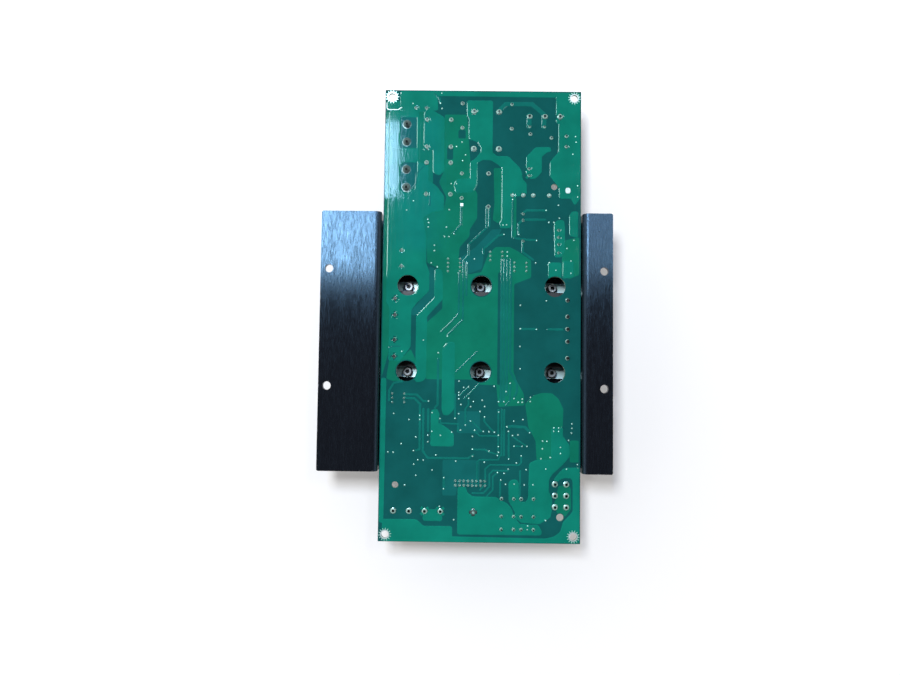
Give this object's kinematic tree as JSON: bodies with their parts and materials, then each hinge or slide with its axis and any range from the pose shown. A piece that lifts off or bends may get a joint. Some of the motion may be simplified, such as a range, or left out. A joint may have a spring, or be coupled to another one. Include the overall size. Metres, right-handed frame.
{
  "type": "power supply",
  "caption": "Open-frame power supply: a green circuit board with its solder side up, held in the channel of a black folded heat sink with side flanges by the converter module below it.",
  "frame": {"origin": "centre of the heat sink base's underside", "axes": "+X to the right and +Y to the input end when the solder side is seen; +Z out of the solder side"},
  "size_m": [0.1779, 0.278, 0.0296],
  "materials": {
    "anodised_sheet": "black anodised, brushed grain along the length",
    "solder_mask": "glossy green solder mask",
    "solder": "bright solder",
    "thermal_sheet": "matt",
    "bare_aluminium": "milled",
    "case_plastic": "fine texture",
    "tinned_pin": "tinned",
    "zinc_screw": "zinc plated",
    "spring_steel": "blackened",
    "block_plastic": "moulded",
    "tinned_plate": "tinned",
    "can_sleeve": "shrunk sleeve",
    "film_yellow": "moulded box",
    "film_blue": "moulded box",
    "film_red": "moulded box",
    "dipped_blue": "dipped epoxy",
    "dipped_green": "dipped silicone",
    "ferrite": "sintered",
    "core_coat": "coated ferrite",
    "bobbin_plastic": "moulded nylon",
    "copper_wire": "enamelled copper",
    "winding_tape": "polyester tape",
    "fuse_glass": "clear",
    "chip_black": "moulded epoxy",
    "chip_white": "moulded epoxy",
    "chip_ceramic": "fired",
    "connector_plastic": "moulded nylon",
    "gold_pin": "gold flashed"
  },
  "bodies": {
    "root": {"heat_sink": "anodised_sheet", "circuit_board": "solder_mask", "solder_joints": "solder", "thermal_pad": "thermal_sheet", "converter_baseplate": "bare_aluminium", "converter_case": "case_plastic", "converter_input_pins": "tinned_pin", "converter_output_pins": "tinned_pin", "converter_screws": "zinc_screw", "converter_washers": "spring_steel", "input_terminal_block": "block_plastic", "input_terminal_plates": "tinned_plate", "input_terminal_screws": "zinc_screw", "output_terminal_block": "block_plastic", "output_terminal_plates": "tinned_plate", "output_terminal_screws": "zinc_screw", "bulk_capacitor_1": "can_sleeve", "bulk_capacitor_2": "can_sleeve", "film_capacitor_1": "film_yellow", "film_capacitor_2": "film_yellow", "film_capacitor_3": "film_yellow", "converter_capacitor": "film_blue", "snubber_capacitor": "film_red", "safety_capacitor_1": "dipped_blue", "safety_capacitor_2": "dipped_blue", "input_choke_1_core": "ferrite", "input_choke_1_bobbin": "bobbin_plastic", "input_choke_1_winding": "copper_wire", "input_choke_2_core": "ferrite", "input_choke_2_bobbin": "bobbin_plastic", "input_choke_2_winding": "copper_wire", "line_choke_core": "core_coat", "line_choke_base": "block_plastic", "line_choke_winding": "copper_wire", "fuse_clips": "tinned_plate", "fuse_caps": "tinned_plate", "fuse_tube": "fuse_glass", "fuse_wire": "tinned_plate", "varistor": "dipped_blue", "inrush_thermistor": "dipped_green", "bridge_rectifier": "chip_black", "bias_transformer_core": "ferrite", "bias_transformer_bobbin": "block_plastic", "bias_transformer_winding": "winding_tape", "optocoupler_1": "chip_white", "optocoupler_2": "chip_white", "optocoupler_3": "chip_white", "driver_chip": "chip_black", "signal_header_shroud": "block_plastic", "signal_header_pins": "gold_pin", "power_connector_housing": "connector_plastic", "power_connector_pins": "tinned_plate", "output_capacitors": "film_blue", "turret_post": "gold_pin", "control_chips": "chip_black", "chip_resistors": "chip_black", "chip_capacitors": "chip_ceramic"}
  },
  "joints": []
}
